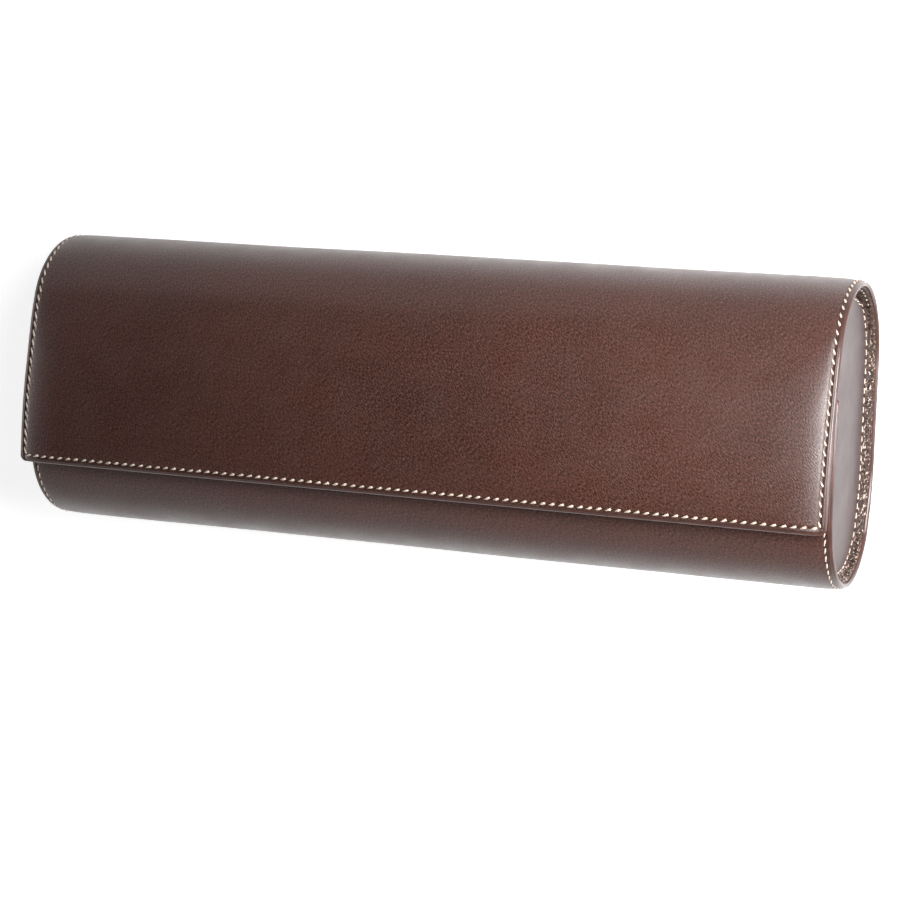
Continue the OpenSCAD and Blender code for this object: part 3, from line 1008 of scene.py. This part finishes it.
def mouth_edge():
    """The wall's full thickness, rounded over, and pinched at its two ends as the wall is."""
    place = front.place(front.length)
    ahead = np.array([cos(place[2]), sin(place[2])])
    down = inward(place[2], front.side)
    middle_xs = np.linspace(mouth_middle - half_length, half_length - mouth_middle, mouth_stations)
    xs = ([d - half_length for d in mouth_steps] + list(middle_xs)
          + [half_length - d for d in reversed(mouth_steps)])
    shares = end_shares + [1.0] * mouth_stations + end_shares[::-1]
    rings = []
    for x, share in zip(xs, shares):
        top, bottom = rim_depths(front, min(abs(x), half_length), 0)
        top -= bead_start
        bump = mouth_bump * math.sin(x / (9 * mm) + 1.3 * math.sin(x / (37 * mm)))
        radius = ((bottom - top) / 2 + 0.02 * mm) * share
        middle = at_depth(place, front.side, (top + bottom) / 2)
        tuck = ahead * mouth_tuck
        ring = [middle + down * radius - tuck]
        ring += [middle + ahead * (radius + bump) * cos(a) + down * radius * sin(a)
                 for a in range(90, -91, -15)]
        ring.append(middle - down * radius - tuck)
        rings.append([(x, p[0], p[1]) for p in ring])
    return swept("mouth_edge", rings, edge_paint)


mouth = mouth_edge()
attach(mouth, "case_body")
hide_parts("lip_bead")
print("mouth: edge of %.1f mm" % (wall / mm))

# %% [markdown]
# ## Saddle stitches
# The rows are sewn by hand with two needles: each stitch leans a little, comes up thick and
# bright at one end and sinks thin at the other. A texture could fake that from afar, but it
# would vanish at the silhouette, so every stitch is its own bent and twisted strand.

# %% One stitch
stitch_rings, stitch_sides = 10, 8


def stitch_strand(centre, along, normal, length, lean, radius, twist, club):
    """One stitch: club 1 is thick and raised at its far end and thin at the near one, and
    club 0 is the same from end to end. Also gives each point's painted shade, 0 to 1: dark
    where it dives into its hole, and half dark along the thin tail."""
    across = normal.cross(along).normalized()
    direction = (along * cos(lean) + across * sin(lean)).normalized()
    sideways = normal.cross(direction).normalized()
    vertices, hole_shade = [], []
    for i in range(stitch_rings + 1):
        t = i / stitch_rings
        dive = smooth((t - 0.86) / 0.14) + smooth((0.16 - t) / 0.16)
        swell = club * (0.3 + 0.75 * smooth((t - 0.15) / 0.55)) + (1 - club) * 0.8
        size = radius * swell * (1 - 0.5 * dive)
        height = (size * 0.65 + radius * (0.35 * club * smooth(t) + 0.1) * (1 - dive)
                  - 1.3 * radius * dive)
        hook = club * 0.5 * radius * smooth((0.3 - t) / 0.3)
        middle = centre + direction * (t - 0.5) * length + normal * height + sideways * hook
        for k in range(stitch_sides):
            angle = 360 * k / stitch_sides
            ply = 1 + 0.12 * cos(2 * (angle - twist * t * 360))
            vertices.append(middle + (sideways * cos(angle) + normal * 0.85 * sin(angle))
                            * size * ply)
            # painted shade where the stitch dives into its hole, and half of it along the thin tail
            hole_shade.append(min(1.0, dive + club * 0.5 * smooth((0.5 - t) / 0.4)))
    return vertices, hole_shade


print("stitch: %d rings of %d points" % (stitch_rings + 1, stitch_sides))

# %% A row of stitches
stitch_pitch, thread_radius = 3.12 * mm, 0.35 * mm


def stitch_row(name, spots, lean=14, radius=thread_radius, share=0.84, club=1.0):
    """spots is a list of (centre, direction of the row, outward normal)."""
    vertices, faces, hole_shade = [], [], []
    for centre, along, normal in spots:
        shift = random.normal(0, 0.04, 2) * mm
        strand, hole_shades = stitch_strand(
            centre + along * shift[0] + normal.cross(along) * shift[1], along, normal,
            stitch_pitch * share * random.uniform(0.95, 1.04), lean + random.normal(0, 1.5),
            radius * random.uniform(0.93, 1.07), random.uniform(0.8, 1.1), club)
        faces += tube(stitch_rings + 1, stitch_sides, len(vertices))
        vertices += strand
        hole_shade += hole_shades
    made = make_object(name, vertices, faces, thread)
    made.data.attributes.new("hole_shade", "FLOAT", "POINT").data.foreach_set("value", hole_shade)
    print("%s: %d stitches" % (name, len(spots)))
    return made


def evenly_spread(start, end):
    count = round((end - start) / stitch_pitch)
    return [start + (i + 0.5) * (end - start) / count for i in range(count)]


def end_spots(chain, side, start, end, depth_at, margin=stitch_margin, facing=1):
    x = side * (half_length - margin)
    return [(chain.point(x, s, depth_at(chain, x, s)), chain.tangent(s),
             chain.outward(s) * facing) for s in evenly_spread(start, end)]


def in_groove(chain, x, s):
    return leather_dip(chain, x, s) + groove_depth


# %% The rows in the wrap
free_edge_s = wrap.length - stitch_margin
free_edge_spots = [(wrap.point(x, free_edge_s, in_groove(wrap, x, free_edge_s)), Vector((1, 0, 0)),
                    wrap.outward(free_edge_s))
                   for x in evenly_spread(stitch_margin - half_length, half_length - stitch_margin)]
flap_row = stitch_row("flap_edge_stitches", free_edge_spots, lean=19, radius=0.38 * mm)
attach(flap_row, "flap")

for side, label, club, share, radius in ((-1, "left", 0.35, 0.94, 0.37 * mm),
                                         (1, "right", 1.0, 0.84, 0.31 * mm)):
    spots = end_spots(wrap, side, 0, free_edge_s, in_groove)
    row = stitch_row("%s_end_stitches" % label, spots, lean=24, club=club, share=share,
                     radius=radius)
    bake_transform(row)
    spots = end_spots(front, side, 0, front.length - stitch_margin, in_groove)
    row = stitch_row("%s_front_stitches" % label, spots, lean=-8, club=0.2,
                     radius=thread_radius * 0.85)
    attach(row, "case_body")

# %% [markdown]
# ## End panels
# Each end is closed by a leather plate set 3 mm inside the wrap. Its rim is turned outward
# against the wall and sewn there, so the rough side of the turned leather shows as a dark band,
# speckled with pale fibre tips and painted glints, and a row of dashes runs round the plate. The
# plate swells very slightly over its board. Its outline is walked along the inside of the same
# chain as the wrap: a drawn outline would leave a wedge of light somewhere round the edge.

# %% Outline of an end panel
gusset_recess, gusset_gap, clear = 3.0 * mm, 3.0 * mm, 0.3 * mm


def crown_s_at(y, depth):
    """Where the flap's inside has this y, as a length along the wrap."""
    low, high = base_flat + run_length(90, ridge_radius), wrap.length
    for _ in range(40):
        middle = (low + high) / 2
        low, high = (middle, high) if wrap.point(0, middle, depth).y > y else (low, middle)
    return (low + high) / 2


def panel_outline(flap_gap, margin=0, spacing=1.4 * mm):
    """(y, z) round the end panel, starting at the mouth."""
    lip = front.place(front.length)
    shifted = moved(lip, wall / 2 + 2 * clear + margin, 0, -1)
    corner = at_depth(shifted, -1, wall + margin)
    points = [(corner[0], corner[1])]
    for chain, start, end, depth in (
            (front, front.length, 0, wall + margin), (wrap, 0, fold_end, wall + margin),
            (wrap, fold_end + 0.8 * mm, crown_s_at(corner[0], wall + flap_gap + margin),
             wall + flap_gap + margin)):
        count = max(2, round(abs(end - start) / spacing))
        for s in np.linspace(start, end, count + 1):
            p = chain.point(0, s, depth)
            points.append((p.y, p.z))
    cleaned = [points[0]]
    for p in points[1:]:
        if math.dist(p, cleaned[-1]) > 0.25 * mm:
            cleaned.append(p)
    return np.array(cleaned)


def inset(points, distance):
    """The closed outline moved inward, with its corners mitred."""
    before, after = np.roll(points, 1, 0), np.roll(points, -1, 0)
    step = after - before
    step /= np.linalg.norm(step, axis=1)[:, None]
    area = np.sum(points[:, 0] * after[:, 1] - after[:, 0] * points[:, 1])
    normal = np.stack([-step[:, 1], step[:, 0]], 1) * (1 if area > 0 else -1)
    return points + normal * distance


def evenly(points, spacing):
    """The closed outline with evenly spaced points."""
    closed = np.vstack([points, points[:1]])
    along = np.concatenate([[0], np.cumsum(np.linalg.norm(np.diff(closed, axis=0), axis=1))])
    count = round(along[-1] / spacing)
    at = np.arange(count) * along[-1] / count
    return np.stack([np.interp(at, along, closed[:, 0]), np.interp(at, along, closed[:, 1])], 1)


def smoothed(points, times):
    for _ in range(times):
        points = (np.roll(points, 1, 0) + 2 * points + np.roll(points, -1, 0)) / 4
    return points


shown_gap, rim_spacing = 1.2 * mm, 0.9 * mm
panel_rim = evenly(smoothed(evenly(panel_outline(shown_gap), rim_spacing), 2), rim_spacing)
print("end panel: %d points round" % len(panel_rim))

# %% The plates, and the dashes round them
plate_face, plate_thick = half_length - gusset_recess, 2.6
plate_profile = ((0, -1.2), (0.03, -0.7), (0.14, -0.35), (0.35, -0.12), (0.65, 0), (1.0, -0.04),
                 (1.3, -0.12), (1.6, -0.04), (1.9, 0.02), (2.7, 0.1))
row_inset, dash_sunk = 1.3 * mm, 0.06 * mm


def rounded_plate(name, side):
    """Swept from the back, round the rim, to the flat face. plate_profile is a list of (inset,
    how far out of the face) in mm, with a furrow for the dashes."""
    levels = ((0.1, -plate_thick),) + plate_profile
    rings = []
    for inset_mm, out_mm in levels:
        outline = smoothed(inset(panel_rim, inset_mm * mm), round(8 * inset_mm))
        rings.append([(side * (plate_face + out_mm * mm), y, z) for y, z in outline])
    made = swept(name, rings, gusset_calf)
    mark_skin(made, [inset_mm for inset_mm, out_mm in levels for point in panel_rim],
              [(y, z) for ring in rings for x, y, z in ring])
    return made


for side, label in both_ends:
    plate = rounded_plate("%s_end_plate" % label, side)
    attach(plate, "case_body")
    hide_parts("%s_gusset" % label)
    row = evenly(inset(panel_rim, row_inset), stitch_pitch)
    ahead = np.roll(row, -1, 0) - np.roll(row, 1, 0)
    spots = [(Vector((side * (plate_face - dash_sunk), y, z)),
              Vector((0, step_y, step_z)).normalized(), Vector((side, 0, 0)))
             for (y, z), (step_y, step_z) in zip(row, ahead)]
    dashes = stitch_row("%s_plate_stitches" % label, spots, lean=3, radius=0.24 * mm, share=0.7,
                        club=0.0)
    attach(dashes, "case_body")

# %% The turned flange, and the facing that carries it on round the ridge
lump_height, lump_step = 0.24 * mm, 0.5 * mm
rim_margin, facing_gap = 1.0 * mm, 0.2 * mm
flange_profile = [(0.5, -0.1, 0), (0.5, 0.6, 0.3), (0.9, 1.0, 1), (1.6, 1.1, 1), (2.4, 1.2, 1),
                  (2.95, 1.6, 0.6), (3.1, 2.1, 0), (3.6, 2.1, 0), (3.6, 0.2, 0)]
facing_profile = [(0.5, -0.1, 0), (0.5, 0.4, 0.3), (0.9, 0.7, 1), (2.2, 0.9, 1), (3.6, 1.3, 0.7),
                  (4.4, 1.25, 0), (4.4, 0.4, 0)]


def rough_strip(name, chain, start, end, side, profile, material):
    """A strip inside the wall's end. profile is a closed list of (inset from the case's end,
    depth below the pinched lining, how lumpy); its points are joined by short steps."""
    fine = []
    for (a_in, a_deep, a_rough), (b_in, b_deep, b_rough) in zip(profile, profile[1:] + profile[:1]):
        count = max(1, round(math.hypot(b_in - a_in, b_deep - a_deep) * mm / lump_step))
        fine += [(a_in + (b_in - a_in) * k / count, a_deep + (b_deep - a_deep) * k / count,
                  max(a_rough, b_rough) if k else min(a_rough, b_rough))
                 for k in range(count)]
    stations = np.linspace(start, end, round(abs(end - start) / lump_step) + 1)
    lumps = random.uniform(-1, 1, (len(stations), len(fine), 2)) * lump_height
    rings = [[chain.point(side * (half_length - inset_mm * mm + across * rough), s,
                          wall + lining_rise(chain, half_length, s) + deep_mm * mm + down * rough)
              for (inset_mm, deep_mm, rough), (across, down) in zip(fine, row)]
             for s, row in zip(stations, lumps)]
    made = swept(name, rings, material)
    return made


def on_facing(chain, x, s):
    return wall + lining_rise(chain, half_length, s) + 0.9 * mm


for side, label in both_ends:
    for part, chain, end in (("front", front, front.length - rim_margin),
                             ("back", wrap, fold_start)):
        strip = rough_strip("%s_%s_flange" % (label, part), chain, 0, end, side, flange_profile,
                            rough_band)
        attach(strip, "case_body")
    strip = rough_strip("%s_facing" % label, wrap, fold_start + facing_gap,
                        wrap.length - rim_margin, side, facing_profile, rough_facing)
    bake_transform(strip)
    spots = end_spots(wrap, side, fold_start, free_edge_s, on_facing, margin=1.7 * mm, facing=-1)
    row = stitch_row("%s_facing_stitches" % label, spots, lean=5, radius=0.22 * mm, share=0.3,
                     club=0.0)
    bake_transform(row)

# %% The row inside the flap's free edge
inside_spots = [(wrap.point(place.x, free_edge_s, wall + lining_rise(wrap, place.x, free_edge_s)),
                 along, -up) for place, along, up in free_edge_spots]
row = stitch_row("flap_inside_stitches", inside_spots, lean=8, radius=0.28 * mm, share=0.7,
                 club=0.0)
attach(row, "flap")

# %% [markdown]
# ## Dividers
# Each divider is a stiff board wrapped in suede: it follows the inside of the wall, has a
# shallow finger dip in its top edge, and stands on two glued feet. A plain extrusion would
# look like plywood, so the rim is rolled over with a few insets, as wrapped suede is.

# %% The bays, and a divider's outline
bays, divider_t, divider_top, dip = 4, 2.4 * mm, wall + 36 * mm, 6 * mm
inner_half = half_length - gusset_recess - 3.4 * mm
bay_width = (2 * inner_half - (bays - 1) * divider_t) / bays
middle_y = back_start + base_flat / 2


def divider_outline():
    """The panel's outline below the dipped top line, walked once round."""
    outline = evenly(panel_outline(gusset_gap), 0.8 * mm)
    dip_radius = (base_flat ** 2 / 4 + dip ** 2) / (2 * dip)

    def top_at(y):
        reach = abs(y - middle_y)
        if reach >= base_flat / 2:
            return divider_top
        return divider_top - dip + dip_radius - math.sqrt(dip_radius ** 2 - reach ** 2)

    under = [p for p in outline if p[1] < top_at(p[0])]
    start = max(range(len(under)), key=lambda i: math.dist(under[i], under[i - 1]))
    under = under[start:] + under[:start]
    first, last = under[0], under[-1]
    across = np.linspace(last[0], first[0], 70)[1:-1]
    closed = np.array(under + [np.array([y, top_at(y)]) for y in across])
    return evenly(smoothed(evenly(closed, 0.9 * mm), 2), 1.1 * mm)


divider_shape = divider_outline()
print("divider: %d points round" % len(divider_shape))

# %% Dividers and their feet
foot_width, foot_t = 6 * mm, 1.0 * mm
half = divider_t / 2
rim_roll = ((0.9 * mm, 0), (0.35 * mm, 0.16 * mm), (0.08 * mm, 0.5 * mm))
rolled = ([(distance, x - half) for distance, x in rim_roll] + [(0, 0)]
          + [(distance, half - x) for distance, x in reversed(rim_roll)])
foot_profile = ((half - 0.3 * mm, 3.2 * mm), (half + 0.5 * mm, 2.0 * mm),
                (half + 1.6 * mm, foot_t * 1.1), (half + foot_width - 0.5 * mm, foot_t),
                (half + foot_width, foot_t * 0.45), (half + foot_width, 0.02 * mm),
                (half - 0.3 * mm, 0.02 * mm))
foot_ys = np.linspace(back_start + 0.3 * mm, back_start + base_flat - 0.3 * mm, 24)
for n in range(1, bays):
    x0 = -inner_half + n * bay_width + (n - 0.5) * divider_t
    vertices = [(x0 + x, y, z) for distance, x in rolled for y, z in inset(divider_shape, distance)]
    faces = tube(len(rolled), len(divider_shape))
    for side in (-1, 1):
        faces += tube(len(foot_ys), len(foot_profile), len(vertices))
        vertices += [(x0 + side * x, y, wall + z) for y in foot_ys for x, z in foot_profile]
    divider = make_object("bay_divider_%d" % n, vertices, faces, suede)
    face_outward(divider)
    divider.data.shade_smooth()
    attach(divider, "case_body")
    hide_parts("divider_%d" % n)
print("bays: %d, each %.1f mm wide" % (bays, bay_width / mm))

# %% [markdown]
# ## Watch cushions
# A watch is strapped round a small stuffed pad of suede. The pad is a band that runs round
# it, closed by two end pieces, with a corded seam where they meet. The stuffed form comes
# from a cloth simulation: a closed shape, a little too small, is blown up by pressure until
# the suede is taut. It is done ten times too large, because cloth settles better at that
# size. The seams are drawn in afterwards, and the cords are laid in them.

# %% The unblown pad
cushion_gap = 1.0 * mm
cushion_width = bay_width - 2 * (foot_width + cushion_gap)
cushion_length, cushion_height = 56 * mm, 30 * mm
underside, section_share, corner_share, draw_share = -60, 0.4, 0.3, 0.12
overhang = max(0, cushion_length / 2 * cos(underside) ** section_share - base_flat / 2)
lining_radius = ridge_radius - wall
cushion_floor = wall + lining_radius - math.sqrt(lining_radius ** 2 - overhang ** 2) + 0.3 * mm


def power(value, share):
    return math.copysign(abs(value) ** share, value)


def pad_form(width, length, height, sides=64, rows=18):
    def outline(angle):
        u, v = power(cos(angle), corner_share), power(sin(angle), corner_share)
        return u * (1 - draw_share * (1 - v * v)), v * (1 - draw_share * (1 - u * u))

    reach = max(outline(360 * i / sides)[0] for i in range(sides))
    vertices = []
    for row in range(rows):
        angle = underside + (90 - underside) * row / rows
        size = cos(angle) ** section_share
        z = (sin(angle) - sin(underside)) / (1 - sin(underside)) * height
        for i in range(sides):
            x, y = outline(360 * i / sides)
            vertices.append((x / reach * size * width / 2, y / reach * size * length / 2, z))
    vertices += [(0, 0, 0), (0, 0, height)]
    faces = between_rings(rows, sides)
    low, high = len(vertices) - 2, len(vertices) - 1
    top = sides * (rows - 1)
    for i in range(sides):
        faces.append((low, (i + 1) % sides, i))
        faces.append((high, top + i, top + (i + 1) % sides))
    return vertices, faces


print("pad: to be %.1f x %.1f x %.1f mm" % (cushion_width / mm, cushion_length / mm,
                                            cushion_height / mm))

# %% Blowing it up
blow_scale, voxel, pressure, cap = 10, 2.2 * mm, 4.0, 2.2 * mm
start_share, cloth_steps = 0.94, 20


def apply_modifier(made):
    """Bakes the object's modifiers into its mesh."""
    bpy.context.view_layer.update()
    seen = made.evaluated_get(bpy.context.evaluated_depsgraph_get())
    mesh = bpy.data.meshes.new_from_object(seen)
    made.modifiers.clear()
    made.data = mesh


def points_of(made):
    co = np.zeros(len(made.data.vertices) * 3)
    made.data.vertices.foreach_get("co", co)
    return co.reshape(-1, 3)


def set_points(made, points):
    made.data.vertices.foreach_set("co", np.asarray(points, float).ravel())
    made.data.update()


def blown_pad():
    vertices, faces = pad_form(cushion_width * start_share, cushion_length * start_share,
                               cushion_height * start_share)
    pad = make_object("pad_form", [Vector(v) * blow_scale for v in vertices], faces, cushion_suede)
    remesh = pad.modifiers.new("even", "REMESH")
    remesh.mode, remesh.voxel_size = "VOXEL", voxel * blow_scale
    apply_modifier(pad)
    start = points_of(pad)
    cloth = pad.modifiers.new("suede", "CLOTH")
    cloth.settings.use_pressure = True
    cloth.settings.uniform_pressure_force = pressure
    cloth.settings.effector_weights.gravity = 0
    cloth.settings.tension_stiffness = 25
    cloth.settings.bending_stiffness = 2
    for number in range(cloth_steps):
        bpy.context.scene.frame_set(number + 1)
    apply_modifier(pad)
    bpy.context.scene.frame_set(1)
    blown = points_of(pad)
    step = blown - start
    far = np.linalg.norm(step, axis=1, keepdims=True)
    print("pad: blown by %.2f mm at most" % (far.max() / blow_scale / mm))
    blown = (start + step * np.minimum(1, cap * blow_scale / np.maximum(far, 1e-9))) / blow_scale
    low, high = blown.min(0), blown.max(0)
    size = np.array([cushion_width, cushion_length, cushion_height])
    blown = (blown - [(low[0] + high[0]) / 2, (low[1] + high[1]) / 2, low[2]]) / (high - low) * size
    set_points(pad, blown)
    smooth_steps = pad.modifiers.new("finer", "SUBSURF")
    smooth_steps.levels = smooth_steps.render_levels = 1
    apply_modifier(pad)
    return pad


pad = blown_pad()
print("pad: %d faces when blown" % len(pad.data.polygons))

# %% Sewing it
seam_from_end, seam_pull, seam_reach = 7.5 * mm, 1.1 * mm, 2.2 * mm
puckers, pucker_height, pucker_off, pucker_reach = 34, 0.22 * mm, 2.4 * mm, 2 * mm
seam_x = cushion_width / 2 - seam_from_end


def sew(points):
    """Draws the pad in along two seams that run round it, with small puckers beside them."""
    centre = np.array([0, 0, cushion_height / 2])
    out = points - centre
    out[:, 0] = 0
    far = np.linalg.norm(out, axis=1, keepdims=True)
    out /= np.maximum(far, 1e-9)
    around = np.arctan2(points[:, 2] - centre[2], points[:, 1])
    off = np.abs(np.abs(points[:, 0]) - seam_x)
    pull = seam_pull * np.exp(-(off / seam_reach) ** 2)
    pucker = (pucker_height * np.exp(-((off - pucker_off) / pucker_reach) ** 2)
              * np.sin(around * puckers))
    near_edge = np.minimum(1, far[:, 0] / (8 * mm))
    flat = points[:, 2] < 0.6 * mm
    move = -(pull + pucker) * near_edge
    move[flat] *= 0.15
    return points + out * move[:, None]


set_points(pad, sew(points_of(pad)))
print("pad: %.1f x %.1f x %.1f mm" % tuple(np.ptp(points_of(pad), 0) / mm))

# %% Cords for the seams, and the four cushions
cord_radius, cord_sides, cord_points = 0.55 * mm, 8, 120
cord_band, cord_spread = 1.2 * mm, 0.09


def seam_cord(points, x):
    """A cord on the pad's surface in the plane x, found from the pad's own points."""
    band = points[np.abs(points[:, 0] - x) < cord_band]
    centre_z = cushion_height / 2
    around = np.arctan2(band[:, 2] - centre_z, band[:, 1])
    far = np.hypot(band[:, 1], band[:, 2] - centre_z)
    path = []
    for angle in np.linspace(-math.pi, math.pi, cord_points + 1)[:-1]:
        gap = np.abs((around - angle + math.pi) % (2 * math.pi) - math.pi)
        weight = np.exp(-(gap / cord_spread) ** 2)
        reach = (weight * far).sum() / weight.sum() + 0.1 * mm
        path.append((x, reach * math.cos(angle), centre_z + reach * math.sin(angle)))
    path = np.array(path)
    path[:, 2] = np.maximum(path[:, 2], cord_radius + 0.05 * mm)
    side, vertices = Vector((1, 0, 0)), []
    for middle, ahead in zip(path, np.roll(path, -1, 0) - np.roll(path, 1, 0)):
        up = Vector(ahead).normalized().cross(side).normalized()
        vertices += [Vector(middle) + (side * cos(45 * k) + up * sin(45 * k)) * cord_radius
                     for k in range(cord_sides)]
    return vertices, between_rings(cord_points, cord_sides, joined=True)


pad_points = points_of(pad)
pad_faces = [tuple(p.vertices) for p in pad.data.polygons]
bpy.data.objects.remove(pad)
for n in range(1, bays + 1):
    bay_x = -inner_half + (n - 0.5) * bay_width + (n - 1) * divider_t
    place = Vector((bay_x, middle_y, cushion_floor - 0.1 * mm))
    flip_y = -1 if n % 2 else 1
    points = pad_points * [1, flip_y, 1]
    faces = pad_faces if flip_y > 0 else [tuple(reversed(f)) for f in pad_faces]
    cushion = make_object("watch_pad_%d" % n, [Vector(p) + place for p in points], faces,
                          cushion_suede)
    body = "watch_cushion_%d" % n
    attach(cushion, body)
    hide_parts("cushion_%d" % n)
    for side, label in both_ends:
        vertices, cord_faces = seam_cord(points, side * seam_x)
        cord = make_object("pad_%d_%s_cord" % (n, label), [v + place for v in vertices],
                           cord_faces, cushion_suede)
        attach(cord, body)
print("cushions:", bays)
